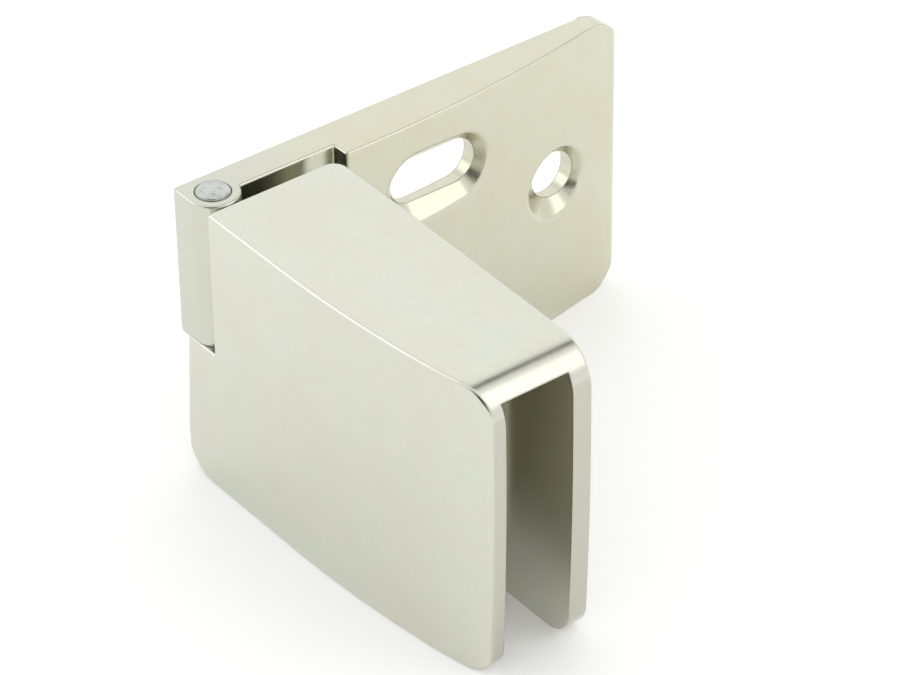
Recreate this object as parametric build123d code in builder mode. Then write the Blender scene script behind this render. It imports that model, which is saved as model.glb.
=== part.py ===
from build123d import *
import os
from math import sqrt

# Clamp-on hinge for an inset glass door.  A cast leaf is screwed to the inner side of the cabinet, and
# a cast U-shaped clamp grips the top corner of the pane.  One upright pin joins the two.
#
# Millimetres, +Z up.  The origin is where the axis of the round screw hole meets the mounting face.
# +X points away from the cabinet's side, +Y along the leaf and away from the pin.  The door is shut.

# Overall
height = 36.0  # the leaf and the clamp are equally high
screw_drop = 17.5  # from the top faces down to the round screw hole
top = screw_drop
bottom = top - height
middle = (top + bottom) / 2
edge_break = 0.35  # softened edges of the leaf
overrun = 1.0  # how far a cut or a joined shape runs past its boundary

# Hinge pin and the two barrels around it
pin_radius = 2.0
pin_standoff = 3.2  # from the mounting face to the pin's axis
pin_to_screw = 46.25  # from the pin's axis to the round screw hole, along the leaf
pin_dome = 0.45  # height of the punched head above the leaf
dome_radius = 1.75
dome_foot = 0.15
rim_drop = 0.12  # the head's rim lies a little below the leaf's top face
rim_chamfer = 0.15
pin_recess = 0.3  # the lower end stays this far inside the lug
flare_radius = 2.4  # lower end, spread so that the clamp can't drop off
barrel_radius = 3.0
barrel_split = top - 17.9  # the leaf's knuckle ends here, above the clamp's lug
lug_gap = 0.06
lug_top = barrel_split - lug_gap
running_gap = 0.05
flare_sink = 0.85  # countersink below the lug, around the spread end

# Leaf, measured from the pin's axis
leaf_end = 56.1
leaf_corner = 5.0
recess_face = 0.85  # thin wall beside the clamp
recess_end = 15.1
leaf_face = 3.0  # thick part, whose face falls away in an arc
arc_start = 17.8
arc_radius = 164.0
cast_wall = 3.0  # thickness over the hollow back
hollow_start = 17.2
rim_width = 2.2
lug_sweep = 4.15  # room for the lug to turn below the knuckle
knuckle_front_round = 0.5
knuckle_low_round = 1.0  # lower corner, at the mounting face
far_round = 1.5

# Screw holes in the leaf
screw_radius = 2.85
screw_sink = 1.6  # depth of the 90 degree countersinks
slot_sink = 1.7
slot_middle = 27.9
slot_rise = 9.1  # the two adjusting slots lie above and below the round hole
slot_radius = 2.75
slot_travel = 5.9

# Clamp, measured from the pin's axis
clamp_start = 3.15
clamp_front = -3.05
front_flat_end = 16.0  # the front is flat up to here, then bows back
front_bow_end = 38.0  # and bows back faster from here on
front_bow_rise = 1.5
front_end_rise = 3.85
clamp_reach = 46.9
rear_near = 13.75
rear_far = 12.7
rear_bow = 0.25
heel_radius = 1.7
end_bow = 450.0
end_bulge_drop = 9.6  # the end bulges most this far below the top
end_top_radius = 4.5
lower_corner = 3.5
front_round = 0.45  # around the front face
rear_round = 0.32  # around the rear face
lug_lower_corner = 4.5
lug_side = 2.95  # narrow flat beside the pin
lug_corner_top = 2.2
lug_corner_bottom = 0.9
lug_even = bottom + 6.0  # the corner widens above here
lug_break = 0.3  # along the lug's upper front edge

# Slot for the pane
web = 1.9  # closes the slot above
slot_start = 12.0
slot_front = 1.82
slot_rear = 10.33
slot_corner = 0.8

# Glass fixings in the slot
pad_thickness = 0.6
pad_start = 14.0
pad_length = 30.0
plate_thickness = 1.0
plate_length = 20.0
plate_height = 27.0
plate_centre = 24.5
plate_corner = 1.0
set_screw_radius = 2.5
set_screw_length = 4.0
set_screw_spacing = 11.0
thread_chamfer = 0.4
socket_flats = 2.5
socket_depth = 2.0
seat_gap = 0.03


def plan(z):
    """Horizontal plane at height z, centred on the pin: x away from the cabinet's side, y along the leaf."""
    return Plane(origin=(pin_standoff, -pin_to_screw, z))


def leaf_view(x):
    """Upright plane parallel to the mounting face, x from the pin's axis: x along the leaf, y up."""
    return Plane(origin=(pin_standoff + x, -pin_to_screw, 0), x_dir=(0, 1, 0), z_dir=(1, 0, 0))


def door_view(y):
    """Upright plane parallel to the shut door, y from the pin's axis: x along the door, y up."""
    return Plane(origin=(pin_standoff, y - pin_to_screw, 0), x_dir=(1, 0, 0), z_dir=(0, -1, 0))


def leaf_arc(y, depth=0.0):
    """Distance from the pin's axis to the arc that lies depth below the leaf's inner face, at y along it."""
    return leaf_face - arc_radius + sqrt((arc_radius - depth) ** 2 - (y - arc_start) ** 2)


# ---------------------------------------------------------------- wall leaf
knuckle_run = sqrt(barrel_radius**2 - recess_face**2)
bow_middle = (arc_start + leaf_end) / 2
mount_face = -pin_standoff
knuckle_foot = sqrt(lug_sweep**2 - pin_standoff**2)  # where the lug's room meets the mounting face
hollow_end = arc_start + sqrt((arc_radius - cast_wall) ** 2 - (arc_radius - leaf_face + mount_face) ** 2)
hollow_middle = (arc_start + hollow_end) / 2
round_seat = leaf_arc(pin_to_screw) - screw_sink
slot_seat = leaf_arc(slot_middle) - slot_sink
slot_places = [(slot_middle, slot_rise), (slot_middle, -slot_rise)]

with BuildPart() as wall_leaf:
    with BuildSketch(plan(bottom)) as leaf_plan:
        with BuildLine():
            Polyline((0, -barrel_radius), (mount_face, -barrel_radius), (mount_face, leaf_end),
                     (leaf_arc(leaf_end), leaf_end))
            ThreePointArc((leaf_arc(leaf_end), leaf_end), (leaf_arc(bow_middle), bow_middle),
                          (leaf_face, arc_start))
            Polyline((leaf_face, arc_start), (leaf_face, recess_end), (recess_face, recess_end),
                     (recess_face, knuckle_run))
            ThreePointArc((recess_face, knuckle_run), (barrel_radius, 0), (0, -barrel_radius))
        make_face()
        fillet(leaf_plan.vertices().group_by(Axis.Y)[-1].sort_by(Axis.X)[-1], far_round)
        fillet(leaf_plan.vertices().group_by(Axis.Y)[0].sort_by(Axis.X)[0], knuckle_front_round)
        fillet(leaf_plan.vertices().sort_by_distance((leaf_face, recess_end))[0], edge_break)
    extrude(amount=height)
    fillet(wall_leaf.faces().filter_by(Plane.XY).edges(), edge_break)
    # rounded corners at the far end
    with BuildSketch(leaf_view(mount_face)):
        with Locations((leaf_end, middle)):
            RectangleRounded(2 * leaf_end, height, leaf_corner, align=(Align.MAX, Align.CENTER))
    extrude(amount=2 * pin_standoff, mode=Mode.INTERSECT)
    # below the knuckle the leaf stops short of the turning lug
    with BuildSketch(plan(bottom)):
        Circle(lug_sweep)
        Rectangle(2 * lug_sweep, lug_sweep, align=(Align.CENTER, Align.MAX))
    extrude(amount=barrel_split - bottom, mode=Mode.SUBTRACT)
    # rounded lower corner of the knuckle, at the mounting face
    with BuildSketch(door_view(-barrel_radius)):
        with Locations((mount_face, barrel_split)):
            Rectangle(knuckle_low_round, knuckle_low_round, align=Align.MIN)
        with Locations((mount_face + knuckle_low_round, barrel_split + knuckle_low_round)):
            Circle(knuckle_low_round, mode=Mode.SUBTRACT)
    extrude(amount=-barrel_radius - knuckle_foot, mode=Mode.SUBTRACT)
    # hollow back, its floor parallel to the inner face
    with BuildSketch(plan(bottom + rim_width)):
        with BuildLine():
            Polyline((leaf_arc(arc_start, cast_wall), arc_start), (leaf_arc(arc_start, cast_wall), hollow_start),
                     (mount_face, hollow_start), (mount_face, hollow_end))
            ThreePointArc((mount_face, hollow_end), (leaf_arc(hollow_middle, cast_wall), hollow_middle),
                          (leaf_arc(arc_start, cast_wall), arc_start))
        make_face()
    extrude(amount=height - 2 * rim_width, mode=Mode.SUBTRACT)
    # countersunk round hole
    with BuildSketch(leaf_view(mount_face)):
        with Locations((pin_to_screw, 0)):
            Circle(screw_radius)
    extrude(amount=2 * pin_standoff, mode=Mode.SUBTRACT)
    with BuildSketch(leaf_view(round_seat)):
        with Locations((pin_to_screw, 0)):
            Circle(screw_radius)
    extrude(amount=2 * screw_sink, taper=-45, mode=Mode.SUBTRACT)
    # countersunk slots that let the leaf be set further in or out
    with BuildSketch(leaf_view(mount_face)):
        with Locations(slot_places):
            SlotCenterToCenter(slot_travel, 2 * slot_radius)
    extrude(amount=2 * pin_standoff, mode=Mode.SUBTRACT)
    with BuildSketch(leaf_view(slot_seat)):
        with Locations(slot_places):
            SlotCenterToCenter(slot_travel, 2 * slot_radius)
    extrude(amount=2 * slot_sink, taper=-45, mode=Mode.SUBTRACT)
    # bore for the pin
    with BuildSketch(plan(top)):
        Circle(pin_radius)
    extrude(amount=barrel_split - top, mode=Mode.SUBTRACT)
wall_leaf.part.label = "wall_leaf"

# ---------------------------------------------------------------- glass clamp
reach = clamp_reach + overrun
rear_middle = ((clamp_start + reach) / 2, (rear_near + rear_far) / 2 + rear_bow)
end_widest = top - end_bulge_drop
half_spacing = set_screw_spacing / 2
screw_places = [(plate_centre - half_spacing, middle), (plate_centre + half_spacing, middle)]


def end_face(drop):
    """Distance from the pin's axis to the bowed end face, at drop above or below its widest point."""
    return clamp_reach - end_bow + sqrt(end_bow**2 - drop**2)


def lug_section(z, corner):
    """Outline of the lug around the pin at height z, its front corner rounded to the given radius."""
    with BuildSketch(plan(z)) as section:
        Circle(barrel_radius)
        with Locations((-barrel_radius, clamp_front)):
            Rectangle(barrel_radius + clamp_start + overrun, -clamp_front, align=Align.MIN)
        Rectangle(clamp_start + overrun, barrel_radius, align=Align.MIN)
        fillet(section.vertices().group_by(Axis.Y)[0].sort_by(Axis.X)[0], corner)
    return section.sketch


with BuildPart() as glass_clamp:
    # body between the bowed front and rear faces
    with BuildSketch(plan(bottom)) as clamp_plan:
        with BuildLine():
            front = Line((clamp_start, clamp_front), (front_flat_end, clamp_front))
            bow = TangentArc(front @ 1, (front_bow_end, clamp_front + front_bow_rise), tangent=front % 1)
            nose = TangentArc(bow @ 1, (reach, clamp_front + front_end_rise), tangent=bow % 1)
            Line(nose @ 1, (reach, rear_far))
            ThreePointArc((reach, rear_far), rear_middle, (clamp_start, rear_near))
            Line((clamp_start, rear_near), front @ 0)
        make_face()
        fillet(clamp_plan.vertices().group_by(Axis.X)[0].sort_by(Axis.Y)[-1], heel_radius)
    extrude(amount=height)
    # lug around the pin, below the knuckle: its front corner widens towards the top
    extrude(lug_section(bottom, lug_corner_bottom), amount=lug_even - bottom)
    loft([lug_section(lug_even, lug_corner_bottom), lug_section(lug_top, lug_corner_top)])
    # seen from the front, the end bulges and the lower corners are rounded
    with BuildSketch(door_view(0)) as front_view:
        with BuildLine():
            Polyline((end_face(end_widest - bottom), bottom), (-lug_side, bottom), (-lug_side, top),
                     (end_face(end_bulge_drop), top))
            ThreePointArc((end_face(end_bulge_drop), top), (clamp_reach, end_widest),
                          (end_face(end_widest - bottom), bottom))
        make_face()
        fillet(front_view.vertices().group_by(Axis.Y)[0].sort_by(Axis.X)[0], lug_lower_corner)
        fillet(front_view.vertices().group_by(Axis.Y)[0].sort_by(Axis.X)[-1], lower_corner)
        fillet(front_view.vertices().group_by(Axis.Y)[-1].sort_by(Axis.X)[-1], end_top_radius)
    extrude(amount=2 * rear_near, both=True, mode=Mode.INTERSECT)
    # softened edges around the front and the rear face
    end_edges = glass_clamp.edges().filter_by(Axis.Y, reverse=True).sort_by(Axis.X)[-2:]
    fillet(end_edges.sort_by(Axis.Y)[0], front_round)
    end_edges = glass_clamp.edges().filter_by(Axis.Y, reverse=True).sort_by(Axis.X)[-2:]
    fillet(end_edges.sort_by(Axis.Y)[-1], rear_round)
    lug_edge = glass_clamp.edges().sort_by_distance((pin_standoff, clamp_front - pin_to_screw, lug_top))[0]
    fillet(lug_edge, lug_break)
    # slot for the pane, open below and at the end
    with BuildSketch(plan(bottom)) as slot_plan:
        with Locations((slot_start, slot_front)):
            Rectangle(clamp_reach, slot_rear - slot_front, align=Align.MIN)
        fillet(slot_plan.vertices().group_by(Axis.X)[0], slot_corner)
    extrude(amount=height - web, mode=Mode.SUBTRACT)
    # bore for the pin, widened below for the pin's spread end
    with BuildSketch(plan(bottom)):
        Circle(pin_radius + running_gap)
    extrude(amount=barrel_split - bottom, mode=Mode.SUBTRACT)
    with BuildSketch(plan(bottom + flare_sink)):
        Circle(pin_radius + running_gap)
    extrude(amount=-flare_sink, taper=-45, mode=Mode.SUBTRACT)
    # threaded holes through the rear leg
    with BuildSketch(door_view(slot_rear - overrun)):
        with Locations(screw_places):
            Circle(set_screw_radius + running_gap)
    extrude(amount=-rear_near, mode=Mode.SUBTRACT)
glass_clamp.part.label = "glass_clamp"

# ---------------------------------------------------------------- hinge pin
pin_foot = bottom + pin_recess
flare_start = bottom + flare_sink - running_gap
flare_height = flare_radius - pin_radius
rim = top - rim_drop
shoulder = rim + rim_chamfer
dome_base = top + dome_foot
dome_rise = pin_dome - dome_foot
dome_sphere = (dome_radius**2 + dome_rise**2) / (2 * dome_rise)
dome_middle = top + pin_dome - dome_sphere + sqrt(dome_sphere**2 - (dome_radius / 2) ** 2)

with BuildPart() as hinge_pin:
    with BuildSketch(door_view(0)):
        with BuildLine():
            Polyline((0, top + pin_dome), (0, pin_foot), (flare_radius, pin_foot),
                     (flare_radius, flare_start - flare_height), (pin_radius, flare_start),
                     (pin_radius, rim), (pin_radius - rim_chamfer, shoulder), (dome_radius, shoulder),
                     (dome_radius, dome_base))
            ThreePointArc((dome_radius, dome_base), (dome_radius / 2, dome_middle), (0, top + pin_dome))
        make_face()
    revolve(axis=Axis((pin_standoff, -pin_to_screw, 0), (0, 0, 1)))
hinge_pin.part.label = "hinge_pin"

# ---------------------------------------------------------------- pads and pressure plate
plate_rear = slot_rear - running_gap
plate_front = plate_rear - plate_thickness

with BuildPart() as front_pad:
    with BuildSketch(door_view(slot_front)):
        with Locations((pad_start, middle)):
            RectangleRounded(pad_length, plate_height, plate_corner, align=(Align.MIN, Align.CENTER))
    extrude(amount=-pad_thickness)
front_pad.part.label = "front_pad"

with BuildPart() as plate_pad:
    with BuildSketch(door_view(plate_front)):
        with Locations((plate_centre, middle)):
            RectangleRounded(plate_length, plate_height, plate_corner)
    extrude(amount=pad_thickness)
plate_pad.part.label = "plate_pad"

with BuildPart() as pressure_plate:
    with BuildSketch(door_view(plate_front)):
        with Locations((plate_centre, middle)):
            RectangleRounded(plate_length, plate_height, plate_corner)
    extrude(amount=-plate_thickness)
pressure_plate.part.label = "pressure_plate"

# ---------------------------------------------------------------- set screws
screw_tip = plate_rear + seat_gap
screw_head = screw_tip + set_screw_length


def set_screw(place):
    """Headless screw with a hexagonal socket, its axis at place in the door view."""
    with BuildPart() as screw:
        with BuildSketch(door_view(screw_tip)):
            with Locations(place):
                Circle(set_screw_radius)
        extrude(amount=-set_screw_length)
        chamfer(screw.edges().filter_by(GeomType.CIRCLE), thread_chamfer)
        with BuildSketch(door_view(screw_head)):
            with Locations(place):
                RegularPolygon(socket_flats / 2, 6, major_radius=False)
        extrude(amount=socket_depth, mode=Mode.SUBTRACT)
    return screw.part


set_screw_near = set_screw(screw_places[0])
set_screw_near.label = "set_screw_near"
set_screw_far = set_screw(screw_places[1])
set_screw_far.label = "set_screw_far"

os.makedirs("parts", exist_ok=True)
export_step(wall_leaf.part, "parts/wall_leaf.step")
export_step(glass_clamp.part, "parts/glass_clamp.step")
export_step(hinge_pin.part, "parts/hinge_pin.step")
export_step(front_pad.part, "parts/front_pad.step")
export_step(plate_pad.part, "parts/plate_pad.step")
export_step(pressure_plate.part, "parts/pressure_plate.step")
export_step(set_screw_near, "parts/set_screw_near.step")
export_step(set_screw_far, "parts/set_screw_far.step")
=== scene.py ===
from math import acos, asin, cos, degrees, pi, radians, sin, sqrt

import bpy
from mathutils import Matrix, Vector


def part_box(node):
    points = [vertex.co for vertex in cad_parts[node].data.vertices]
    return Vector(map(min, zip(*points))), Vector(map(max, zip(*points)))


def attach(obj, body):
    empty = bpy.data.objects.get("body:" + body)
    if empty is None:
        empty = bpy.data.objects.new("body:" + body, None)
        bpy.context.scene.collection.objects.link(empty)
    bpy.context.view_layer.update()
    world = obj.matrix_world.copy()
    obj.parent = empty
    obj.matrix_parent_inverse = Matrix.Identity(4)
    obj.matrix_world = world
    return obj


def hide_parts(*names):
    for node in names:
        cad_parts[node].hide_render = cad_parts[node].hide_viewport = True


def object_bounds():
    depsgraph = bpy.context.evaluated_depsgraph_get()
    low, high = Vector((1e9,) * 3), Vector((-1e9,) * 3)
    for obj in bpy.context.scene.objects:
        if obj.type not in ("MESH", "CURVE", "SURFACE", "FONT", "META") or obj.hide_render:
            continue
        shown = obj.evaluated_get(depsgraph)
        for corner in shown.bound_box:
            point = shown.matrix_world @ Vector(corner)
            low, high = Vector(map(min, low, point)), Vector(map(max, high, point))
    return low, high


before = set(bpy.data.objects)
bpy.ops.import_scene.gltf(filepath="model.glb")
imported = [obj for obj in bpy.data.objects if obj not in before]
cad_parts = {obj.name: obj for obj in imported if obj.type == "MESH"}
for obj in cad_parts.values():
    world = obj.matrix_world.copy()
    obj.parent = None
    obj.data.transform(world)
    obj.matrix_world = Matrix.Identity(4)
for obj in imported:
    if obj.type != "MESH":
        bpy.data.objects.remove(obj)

cad_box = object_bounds()


# --- Cast wall leaf -----------------------------------------------------------------------------------
# A flat zinc casting that is screwed to the cabinet's side.  It was tumbled smooth, blasted very finely
# and plated with satin nickel, so it is pale, warm and soft in its reflections.

mm = 0.001
leaf_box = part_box("wall_leaf")
leaf_low, leaf_top = leaf_box[0][2], leaf_box[1][2]
knuckle_radius = 3 * mm
pin_x, pin_y = 3.2 * mm, leaf_box[0][1] + knuckle_radius


class Sock:
    """One output of a shader node.  Python operators on it add Math nodes."""

    def __init__(self, tree, link):
        self.tree = tree
        self.link = link

    def math(self, operation, first, second):
        return make_node(self.tree, "ShaderNodeMath", {"operation": operation}, {0: first, 1: second})

    def __add__(self, other):
        return self.math("ADD", self, other)

    def __sub__(self, other):
        return self.math("SUBTRACT", self, other)

    def __mul__(self, other):
        return self.math("MULTIPLY", self, other)

    def __rsub__(self, other):
        return self.math("SUBTRACT", other, self)

    __radd__ = __add__
    __rmul__ = __mul__


def make_node(tree, kind, settings=None, values=None, output=0):
    """Adds a node: its settings first, then the values or links of its sockets."""
    node = tree.nodes.new(kind)
    for name, value in (settings or {}).items():
        setattr(node, name, value)
    for name, value in (values or {}).items():
        if isinstance(value, Sock):
            tree.links.new(value.link, node.inputs[name])
        else:
            node.inputs[name].default_value = value
    return Sock(tree, node.outputs[output])


def satin_nickel(name, cool, warm, gloss, corner, shift):
    """Blasted and plated metal: clouds of two tints, fine grain, and edges worn soft to the given radius."""
    material = bpy.data.materials.new(name)
    material.use_nodes = True
    tree = material.node_tree
    shader = tree.nodes["Principled BSDF"]
    place = make_node(tree, "ShaderNodeTexCoord", output=3)
    place = make_node(tree, "ShaderNodeMapping", None, {0: place, 1: shift})
    clouds = make_node(tree, "ShaderNodeTexNoise", None,
                       {0: place, "Scale": 110, "Detail": 5, "Roughness": 0.55})
    stains = make_node(tree, "ShaderNodeTexNoise", None,
                       {0: place, "Scale": 420, "Detail": 4, "Roughness": 0.65})
    specks = make_node(tree, "ShaderNodeTexNoise", None, {0: place, "Scale": 1500, "Detail": 3})
    grain = make_node(tree, "ShaderNodeTexNoise", None, {0: place, "Scale": 5200, "Detail": 2})
    tint = make_node(tree, "ShaderNodeMapRange", None,
                     {"Value": 0.65 * clouds + 0.35 * stains, "From Min": 0.36, "From Max": 0.64})
    colour = make_node(tree, "ShaderNodeMix", {"data_type": "RGBA"},
                       {0: tint, 6: (*cool, 1), 7: (*warm, 1)}, output=2)
    shade = make_node(tree, "ShaderNodeMapRange", None,
                      {"Value": 0.5 * specks + 0.5 * stains, "From Min": 0.3, "From Max": 0.62,
                       "To Min": 0.955})
    colour = make_node(tree, "ShaderNodeVectorMath", {"operation": "SCALE"}, {0: colour, "Scale": shade})
    tree.links.new(colour.link, shader.inputs["Base Color"])
    roughness = gloss + 0.10 * clouds + 0.06 * specks - 0.08
    tree.links.new(roughness.link, shader.inputs["Roughness"])
    edges = make_node(tree, "ShaderNodeBevel", {"samples": 8}, {"Radius": corner})
    bump = make_node(tree, "ShaderNodeBump", None,
                     {"Strength": 0.3, "Distance": 0.02 * mm, "Height": 0.7 * grain + 0.3 * specks,
                      "Normal": edges})
    tree.links.new(bump.link, shader.inputs["Normal"])
    shader.inputs["Metallic"].default_value = 1
    return material


def tone(material, mask, colour):
    """Moves a finish towards another base colour where the mask is 1."""
    tree = material.node_tree
    socket = tree.nodes["Principled BSDF"].inputs["Base Color"]
    before = Sock(tree, socket.links[0].from_socket)
    after = make_node(tree, "ShaderNodeMix", {"data_type": "RGBA"},
                      {0: mask(tree), 6: before, 7: (*colour, 1)}, output=2)
    tree.links.new(after.link, socket)


def knuckle_painted_shade(tree):
    """1 on the knuckle, which gets a painted shade there, darker and less yellow, and 0 along the leaf."""
    place = make_node(tree, "ShaderNodeTexCoord", output=3)
    along = make_node(tree, "ShaderNodeSeparateXYZ", None, {0: place}, output=1)
    return make_node(tree, "ShaderNodeMapRange", None,
                     {"Value": along, "From Min": pin_y + 16.25 * mm, "From Max": pin_y + 2.25 * mm,
                      "To Max": 0.75})


def dress(node, material):
    """Gives a CAD node its material."""
    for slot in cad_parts[node].material_slots:
        slot.material = material


leaf_nickel = satin_nickel("leaf_nickel", (0.650, 0.652, 0.535), (0.632, 0.610, 0.478), 0.24, 0.3 * mm,
                           (0, 0, 0))
# Painted shade: the leaf is painted darker and less yellow towards its knuckle.
tone(leaf_nickel, knuckle_painted_shade, (0.585, 0.602, 0.532))
dress("wall_leaf", leaf_nickel)

# Distances out of the wall and along the leaf are taken from the pin's axis
wall_side = leaf_box[0][0] - pin_x
wall_round = 0.5 * mm
leaf_far = leaf_box[1][1] - pin_y
face = 3 * mm  # the thick part's face, flat at first
bow_start, bow_radius = 17.8 * mm, 164 * mm  # from here on it falls away in an arc
far_round = 1.15 * mm
far_corner = 5 * mm
recess_face, recess_end = 0.85 * mm, 15.1 * mm  # the thin wall that makes room for the clamp
shoulder_round = 0.4 * mm
split = leaf_top - 17.9 * mm  # the knuckle ends here, above the clamp's lug
lug_room, open_front = 4.15 * mm, 1 * mm  # the lug's room is round, and open from just before the pin
pin_radius = 2 * mm
foot_round, foot_end = 1 * mm, 2.643 * mm  # rounded lower corner of the knuckle
cast_wall, rim_width, hollow_start = 3 * mm, 2.2 * mm, 17.2 * mm
hole_level = leaf_top - 17.5 * mm
slot_rise = 9.1 * mm  # the two slots lie this far above and below the round hole
edge_round, sink_round = 0.3 * mm, 0.35 * mm
past = 9 * mm  # how far cutters reach out of the leaf
skin, tiny = 0.01 * mm, 0.001 * mm  # the first keeps two faces from lying in one plane


def start(primitive, **values):
    """Adds one primitive, alone in the selection, and returns its object."""
    bpy.ops.object.select_all(action="DESELECT")
    primitive(**values)
    return bpy.context.object


def block(low, high):
    """A box between two corners, each given out of the wall, along the leaf and in height."""
    size = [b - a for a, b in zip(low, high)]
    place = (pin_x + (low[0] + high[0]) / 2, pin_y + (low[1] + high[1]) / 2, (low[2] + high[2]) / 2)
    body = start(bpy.ops.mesh.primitive_cube_add, size=1, location=place)
    body.scale = size
    bpy.ops.object.transform_apply()
    return body


def pick_points(piece, test):
    """Goes into edit mode with just those vertices selected that pass the test."""
    bpy.ops.object.mode_set(mode="EDIT")
    bpy.ops.mesh.select_mode(type="VERT")
    bpy.ops.mesh.select_all(action="DESELECT")
    bpy.ops.object.mode_set(mode="OBJECT")
    for point in piece.data.vertices:
        point.select = test(point.co)
    bpy.ops.object.mode_set(mode="EDIT")


def round_edges(piece, test, size, steps, **settings):
    """Rounds those sharp edges whose two ends pass the test."""
    bpy.ops.object.select_all(action="DESELECT")
    bpy.context.view_layer.objects.active = piece
    piece.select_set(True)
    bpy.ops.object.mode_set(mode="EDIT")
    bpy.ops.mesh.select_mode(type="EDGE")
    bpy.ops.mesh.select_all(action="DESELECT")
    bpy.ops.mesh.edges_select_sharp(sharpness=radians(25))
    bpy.ops.object.mode_set(mode="OBJECT")
    for side in piece.data.polygons:
        side.select = False
    points = piece.data.vertices
    for edge in piece.data.edges:
        edge.select = edge.select and test(*[points[index].co for index in edge.vertices])
    bpy.ops.object.mode_set(mode="EDIT")
    bpy.ops.mesh.bevel(offset=size, segments=steps, **settings)
    bpy.ops.object.mode_set(mode="OBJECT")


def combine(piece, tool, operation="DIFFERENCE"):
    """Cuts the tool's shape out of the piece, joins it on, or keeps only what lies in both."""
    bpy.ops.object.select_all(action="DESELECT")
    bpy.context.view_layer.objects.active = piece
    piece.select_set(True)
    step = piece.modifiers.new("step", "BOOLEAN")
    step.operation, step.object, step.solver = operation, tool, "EXACT"
    bpy.ops.object.modifier_apply(modifier=step.name)
    bpy.data.objects.remove(tool)


def arc(centre, radius, start_angle, end_angle, steps):
    """Points along an arc, its angles in degrees from straight out of the wall."""
    angles = [radians(start_angle + (end_angle - start_angle) * step / steps) for step in range(steps + 1)]
    return [(centre[0] + radius * cos(angle), centre[1] + radius * sin(angle)) for angle in angles]


def prism(outline, low, high):
    """A solid on that outline between two heights, drawn point by point and then raised."""
    corner = Vector((pin_x + outline[0][0], pin_y + outline[0][1], low))
    body = start(bpy.ops.mesh.primitive_plane_add, size=mm, location=corner)
    bpy.ops.object.transform_apply()
    first = body.data.vertices[0].co.copy()
    pick_points(body, lambda place: (place - first).length > 0.1 * mm)
    bpy.ops.mesh.delete(type="VERT")
    bpy.ops.mesh.select_all(action="SELECT")
    bpy.ops.transform.translate(value=corner - first)
    for here, there in zip(outline, outline[1:]):
        step = (there[0] - here[0], there[1] - here[1], 0)
        bpy.ops.mesh.extrude_region_move(TRANSFORM_OT_translate={"value": step})
    bpy.ops.mesh.select_all(action="SELECT")
    bpy.ops.mesh.edge_face_add()
    bpy.ops.mesh.extrude_region_move(TRANSFORM_OT_translate={"value": (0, 0, high - low)})
    bpy.ops.mesh.select_all(action="SELECT")
    bpy.ops.mesh.normals_make_consistent(inside=False)
    bpy.ops.object.mode_set(mode="OBJECT")
    return body


# The plate with its knuckle, seen from above: mounting face, far end, bowed face, recess and knuckle
bow_end = degrees(asin((leaf_far - bow_start) / bow_radius))
bow = arc((face - bow_radius, bow_start), bow_radius, bow_end, 0, 28)
outline = arc((wall_side + wall_round, wall_round - knuckle_radius), wall_round, -90, -180, 4)
outline += [(wall_side, leaf_far)] + bow
outline += arc((face - shoulder_round, recess_end + shoulder_round), shoulder_round, 0, -90, 4)
outline += [(recess_face, recess_end)]
outline += arc((0, 0), knuckle_radius, degrees(acos(recess_face / knuckle_radius)), -90, 22)
leaf = prism(outline, leaf_low, leaf_top)
leaf.name = "leaf_casting"

# The far end's edge, and its large corners
far_edge = Vector((pin_x + bow[0][0], pin_y + leaf_far))
round_edges(leaf, lambda *ends: all((end.xy - far_edge).length < 0.01 * mm for end in ends), far_round, 6)
envelope = block((-past, -past, leaf_low - skin), (past, leaf_far + skin, leaf_top + skin))
round_edges(envelope, lambda one, other: abs(one.x - other.x) > mm and one.y > pin_y, far_corner, 12)
combine(leaf, envelope, "INTERSECT")

# Room for the clamp's lug to turn in below the knuckle, and the knuckle's rounded lower corner
dip = degrees(asin(open_front / lug_room))
room = [(-past, -past), (past, -past), (past, -open_front)]
room += arc((0, 0), lug_room, -dip, 180 + dip, 56) + [(-past, -open_front)]
combine(leaf, prism(room, leaf_low - past, split))
foot = block((wall_side - foot_round, -past, split - foot_round),
             (wall_side + foot_round - skin, foot_end, split + foot_round - skin))
roller = start(bpy.ops.mesh.primitive_cylinder_add, vertices=64, radius=foot_round, depth=20 * mm,
               location=(pin_x + wall_side + foot_round, pin_y, split + foot_round), rotation=(pi / 2, 0, 0))
bpy.ops.object.transform_apply()
combine(foot, roller)
combine(leaf, foot)

# The hollow back runs along under the bowed face until it comes out at the mounting face
inner_radius = bow_radius - cast_wall
hollow = arc((face - bow_radius, bow_start), inner_radius, degrees(asin(40.2 * mm / inner_radius)), 0, 20)
hollow = [(-past, hollow[0][1])] + hollow + [(0, hollow_start), (-past, hollow_start)]
combine(leaf, prism(hollow, leaf_low + rim_width, leaf_top - rim_width))


def screw_hole(along, height, radius, sink, travel=0):
    """Cuts a round or long hole with a 90 degree countersink of that depth through the leaf."""
    bed = face - bow_radius + sqrt(bow_radius ** 2 - (along - bow_start) ** 2) - sink
    body = start(bpy.ops.mesh.primitive_cylinder_add, vertices=64, radius=radius, depth=bed + past,
                 location=(pin_x + (bed - past) / 2, pin_y + along, height), rotation=(0, pi / 2, 0))
    bpy.ops.object.transform_apply()
    pick_points(body, lambda place: place.x > pin_x + bed - tiny)
    bpy.ops.mesh.extrude_region_move(TRANSFORM_OT_translate={"value": (2 * sink, 0, 0)})
    flare = 1 + 2 * sink / radius
    bpy.ops.transform.resize(value=(1, flare, flare), center_override=(pin_x + bed, pin_y + along, height))
    bpy.ops.object.mode_set(mode="OBJECT")
    for side in (-1, 1):
        pick_points(body, lambda place: side * (place.y - pin_y - along) > 0.01 * mm)
        bpy.ops.transform.translate(value=(0, side * travel / 2, 0))
        bpy.ops.object.mode_set(mode="OBJECT")
    combine(leaf, body)


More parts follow.
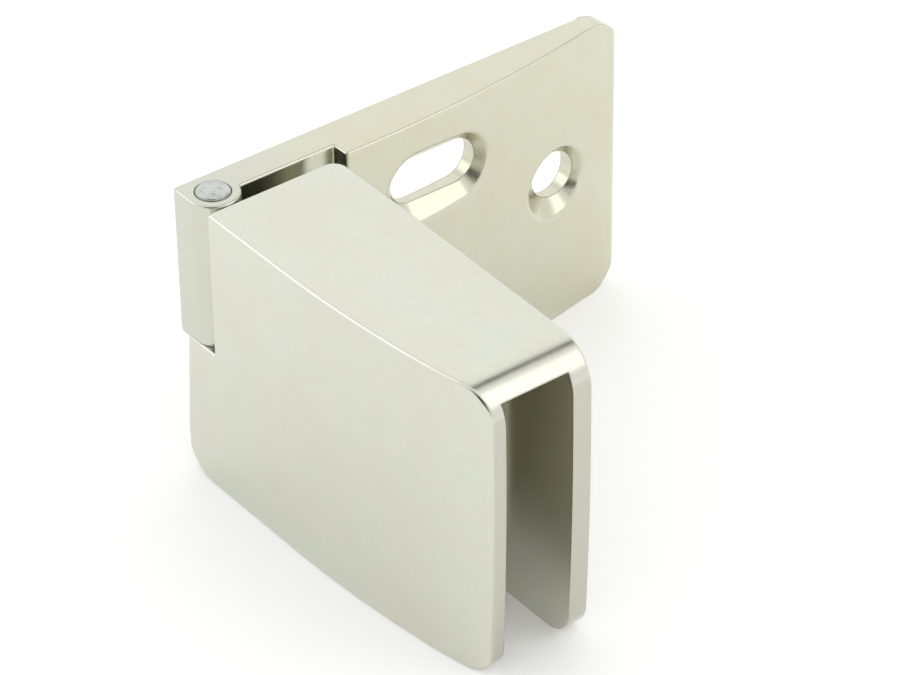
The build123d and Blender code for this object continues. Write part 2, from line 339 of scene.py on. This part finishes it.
screw_hole(along=46.25 * mm, height=hole_level, radius=2.85 * mm, sink=1.6 * mm)
for rise in (slot_rise, -slot_rise):
    screw_hole(along=27.9 * mm, height=hole_level + rise, radius=2.75 * mm, sink=1.7 * mm, travel=5.9 * mm)
combine(leaf, start(bpy.ops.mesh.primitive_cylinder_add, vertices=96, radius=pin_radius,
                    depth=leaf_top - split + 2 * past, location=(pin_x, pin_y, (split + leaf_top) / 2)))


def merge(piece):
    """Joins what the cuts and roundings left closer together than a hair."""
    bpy.ops.object.mode_set(mode="EDIT")
    bpy.ops.mesh.select_mode(type="VERT")
    bpy.ops.mesh.select_all(action="SELECT")
    bpy.ops.mesh.remove_doubles(threshold=0.002 * mm)
    bpy.ops.object.mode_set(mode="OBJECT")


merge(leaf)


def above_or_below(*ends):
    """True between points of the top and bottom faces, but not around the pin's bore or the lug's room."""
    pin_place = Vector((pin_x, pin_y))
    level = all(min(leaf_top - end.z, end.z - leaf_low) < tiny for end in ends)
    rims = [pin_radius if end.z > split else lug_room for end in ends]
    by_pin = all((end.xy - pin_place).length < rim + 5 * skin for end, rim in zip(ends, rims))
    return level and not by_pin


def sink_rim(*ends):
    """True where a countersink meets the bowed face."""
    bow_centre = Vector((pin_x + face - bow_radius, pin_y + bow_start))
    on_bow = all(abs((end.xy - bow_centre).length - bow_radius) < 3 * skin for end in ends)
    inside = all(leaf_low + mm < end.z < leaf_top - mm and 17 * mm < end.y - pin_y < 51 * mm for end in ends)
    return on_bow and inside


round_edges(leaf, above_or_below, edge_round, 4, loop_slide=False)
round_edges(leaf, sink_rim, sink_round, 3, loop_slide=False)
merge(leaf)
leaf.data.materials.clear()
leaf.data.materials.append(leaf_nickel)
bpy.ops.object.shade_smooth_by_angle(angle=radians(32))
even = leaf.modifiers.new("even", "WEIGHTED_NORMAL")
even.keep_sharp = True
bpy.ops.object.modifier_apply(modifier=even.name)
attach(leaf, "leaf")
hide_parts("wall_leaf")


# --- Cast glass clamp ---------------------------------------------------------------------------------
# The U-shaped zinc casting that grips the pane between its two legs and turns on the pin with its lug.
# It has the leaf's plating, but came out of another bath and is a little greener.

clamp_nickel = satin_nickel("clamp_nickel", (0.655, 0.682, 0.595), (0.668, 0.660, 0.562), 0.24, 0.2 * mm,
                            (0.3, 0.1, 0.2))
clamp_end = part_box("glass_clamp")[1][0]
bulge_height, bulge_radius = leaf_top - 9.6 * mm, 450 * mm


def ends_painted_shade(tree):
    """1 on the two legs' bulged ends, which are painted darker as painted shade, and 0 elsewhere."""
    place = make_node(tree, "ShaderNodeTexCoord", output=3)
    reach = make_node(tree, "ShaderNodeSeparateXYZ", None, {0: place}, output=0)
    rise = make_node(tree, "ShaderNodeSeparateXYZ", None, {0: place}, output=2) - bulge_height
    bulge = reach + rise * rise * (0.5 / bulge_radius)
    return make_node(tree, "ShaderNodeMapRange", None,
                     {"Value": bulge, "From Min": clamp_end - 0.30 * mm, "From Max": clamp_end - 0.12 * mm})


# Painted shade: the legs' bulged end faces are painted darker than the rest of the clamp.
tone(clamp_nickel, ends_painted_shade, (0.538, 0.540, 0.470))
dress("glass_clamp", clamp_nickel)


# --- Hinge pin ----------------------------------------------------------------------------------------
# A plain steel pin, pressed through the knuckle and the lug.  Its upper end was domed lightly by the punch
# that set it, and has a near-black ring of painted shade where it meets the bore.

pin_steel = satin_nickel("pin_steel", (0.62, 0.66, 0.62), (0.50, 0.53, 0.50), 0.26, 0.1 * mm, (0.5, 0.5, 0.5))


def hammer_marks(tree):
    """Patches left by the punch that spread the head."""
    place = make_node(tree, "ShaderNodeTexCoord", output=3)
    patches = make_node(tree, "ShaderNodeTexNoise", None,
                        {0: place, "Scale": 1300, "Detail": 4, "Roughness": 0.7})
    return make_node(tree, "ShaderNodeMapRange", None,
                     {"Value": patches, "From Min": 0.5, "From Max": 0.7, "To Max": 0.8})


def head_ring_painted_shade(tree):
    """1 in the ring of painted shade around the head, where it meets the bore, 0 on its dome."""
    place = make_node(tree, "ShaderNodeTexCoord", output=3)
    flat = make_node(tree, "ShaderNodeVectorMath", {"operation": "MULTIPLY"}, {0: place, 1: (1, 1, 0)})
    out = make_node(tree, "ShaderNodeVectorMath", {"operation": "DISTANCE"},
                    {0: flat, 1: (pin_x, pin_y, 0)}, output=1)
    return make_node(tree, "ShaderNodeMapRange", None,
                     {"Value": out, "From Min": 1.8 * mm, "From Max": 1.93 * mm})


tone(pin_steel, hammer_marks, (0.36, 0.38, 0.36))
# Painted shade: a near-black ring in the gap between the pin's head and the leaf's bore.
tone(pin_steel, head_ring_painted_shade, (0.07, 0.07, 0.06))
dress("hinge_pin", pin_steel)


# --- Rubber pads --------------------------------------------------------------------------------------
# Thin sheets of soft pale rubber between the metal and the glass.  One is glued inside the front leg,
# the other to the pressure plate.

pad_rubber = bpy.data.materials.new("pad_rubber")
pad_rubber.use_nodes = True
tree = pad_rubber.node_tree
shader = tree.nodes["Principled BSDF"]
place = make_node(tree, "ShaderNodeTexCoord", output=3)
grit = make_node(tree, "ShaderNodeTexNoise", None, {0: place, "Scale": 2500, "Detail": 4})
bump = make_node(tree, "ShaderNodeBump", None, {"Strength": 0.4, "Distance": 0.04 * mm, "Height": grit})
tree.links.new(bump.link, shader.inputs["Normal"])
colour = make_node(tree, "ShaderNodeMix", {"data_type": "RGBA"},
                   {0: grit, 6: (0.76, 0.71, 0.57, 1), 7: (0.82, 0.78, 0.66, 1)}, output=2)
tree.links.new(colour.link, shader.inputs["Base Color"])
roughness = 0.6 + 0.2 * grit
tree.links.new(roughness.link, shader.inputs["Roughness"])
dress("front_pad", pad_rubber)
dress("plate_pad", pad_rubber)


# --- Pressure plate and set screws --------------------------------------------------------------------
# A small sheet steel plate that spreads the force over the glass, and the two blackened steel set screws
# that push it from the rear leg.

plate_steel = satin_nickel("plate_steel", (0.56, 0.56, 0.54), (0.48, 0.48, 0.46), 0.32, 0.1 * mm,
                           (0.7, 0.1, 0.9))
dress("pressure_plate", plate_steel)
screw_steel = satin_nickel("screw_steel", (0.20, 0.20, 0.21), (0.13, 0.13, 0.14), 0.34, 0.1 * mm,
                           (0.2, 0.8, 0.4))
dress("set_screw_near", screw_steel)
dress("set_screw_far", screw_steel)


# --- Floor, light and camera --------------------------------------------------------------------------
# A white table in even studio light, seen as from a stand a little above the hinge.  Three softboxes draw
# the highlights along its edges, and two dark cards, which only the metal sees, the thin lines by them.

floor_level = cad_box[0][2]
floor = start(bpy.ops.mesh.primitive_plane_add, size=6, location=(0, 0, floor_level))
floor.name = "floor"
paper = bpy.data.materials.new("paper")
paper.use_nodes = True
tree = paper.node_tree
shader = tree.nodes["Principled BSDF"]
shader.inputs["Base Color"].default_value = (0.93, 0.93, 0.92, 1)
shader.inputs["Roughness"].default_value = 0.9


def mirrored_or_seen(tree):
    """1 for the rays of the camera and of reflections, 0 for the light that falls on the hinge."""
    rays = tree.nodes.new("ShaderNodeLightPath")
    kinds = ("Is Camera Ray", "Is Glossy Ray", "Is Transmission Ray")
    return sum(Sock(tree, rays.outputs[kind]) for kind in kinds)


glow = 0.14 * mirrored_or_seen(tree)
tree.links.new(glow.link, shader.inputs["Emission Strength"])
shader.inputs["Emission Color"].default_value = (1, 1, 1, 1)
floor.data.materials.append(paper)

world = bpy.data.worlds.new("studio")
bpy.context.scene.world = world
world.use_nodes = True
tree = world.node_tree
back = tree.nodes["Background"]
level = 1.0 + 0.03 * mirrored_or_seen(tree)
tree.links.new(level.link, back.inputs["Strength"])
back.inputs["Color"].default_value = (1, 1, 1, 1)

middle = (Vector(cad_box[0]) + Vector(cad_box[1])) / 2
stand_off = 0.9


def stand(direction):
    """A place in that direction from the hinge, and the turn that faces back to it."""
    away = Vector(direction).normalized()
    return middle + away * stand_off, away.to_track_quat("Z", "Y").to_euler()


def softbox(name, direction, width, height, power):
    """A rectangular studio lamp that faces the hinge."""
    lamp = bpy.data.lights.new(name, "AREA")
    lamp.shape = "RECTANGLE"
    lamp.size = width
    lamp.size_y = height
    lamp.energy = power
    body = bpy.data.objects.new(name, lamp)
    bpy.context.collection.objects.link(body)
    body.location, body.rotation_euler = stand(direction)


def dark_card(name, direction, width, height, level):
    """A matt card that faces the hinge, seen in the metal and nowhere else."""
    place, turn = stand(direction)
    card = start(bpy.ops.mesh.primitive_plane_add, size=1, location=place, rotation=turn)
    card.name = name
    card.scale = (width, height, 1)
    card.visible_camera = card.visible_diffuse = card.visible_shadow = card.visible_transmission = False
    felt = bpy.data.materials.new(name)
    felt.use_nodes = True
    shader = felt.node_tree.nodes["Principled BSDF"]
    shader.inputs["Base Color"].default_value = (0, 0, 0, 1)
    shader.inputs["Specular IOR Level"].default_value = 0
    shader.inputs["Emission Color"].default_value = (1, 0.96, 0.84, 1)
    shader.inputs["Emission Strength"].default_value = level
    card.data.materials.append(felt)


softbox("top_light", (-0.65, 0.49, 0.58), 0.8, 0.8, 0.30)
softbox("back_light", (0.56, 0.49, 0.66), 0.5, 0.55, 0.62)
softbox("left_light", (-0.65, -0.58, 0.49), 0.7, 0.5, 0.75)
dark_card("top_card", (-0.06, 0.49, 0.87), 0.16, 0.7, 0.04)
dark_card("stand_card", (0.60, -0.62, 0.51), 0.76, 0.76, 0.04)

aim = middle + Vector((-0.0058, -0.0080, -0.0003))
bearing, pitch, roll, distance = 52.76, 35.55, -0.857, 0.44383
turn = Matrix.Rotation(radians(bearing), 4, "Z") @ Matrix.Rotation(radians(90 - pitch), 4, "X")
turn = turn @ Matrix.Rotation(radians(roll), 4, "Z")
camera_data = bpy.data.cameras.new("camera")
camera_data.lens = 166.96
camera_data.sensor_width = 36
camera = bpy.data.objects.new("camera", camera_data)
bpy.context.collection.objects.link(camera)
camera.matrix_world = Matrix.Translation(aim) @ turn @ Matrix.Translation((0, 0, distance))
bpy.context.scene.camera = camera

bpy.context.scene.view_settings.view_transform = "Standard"
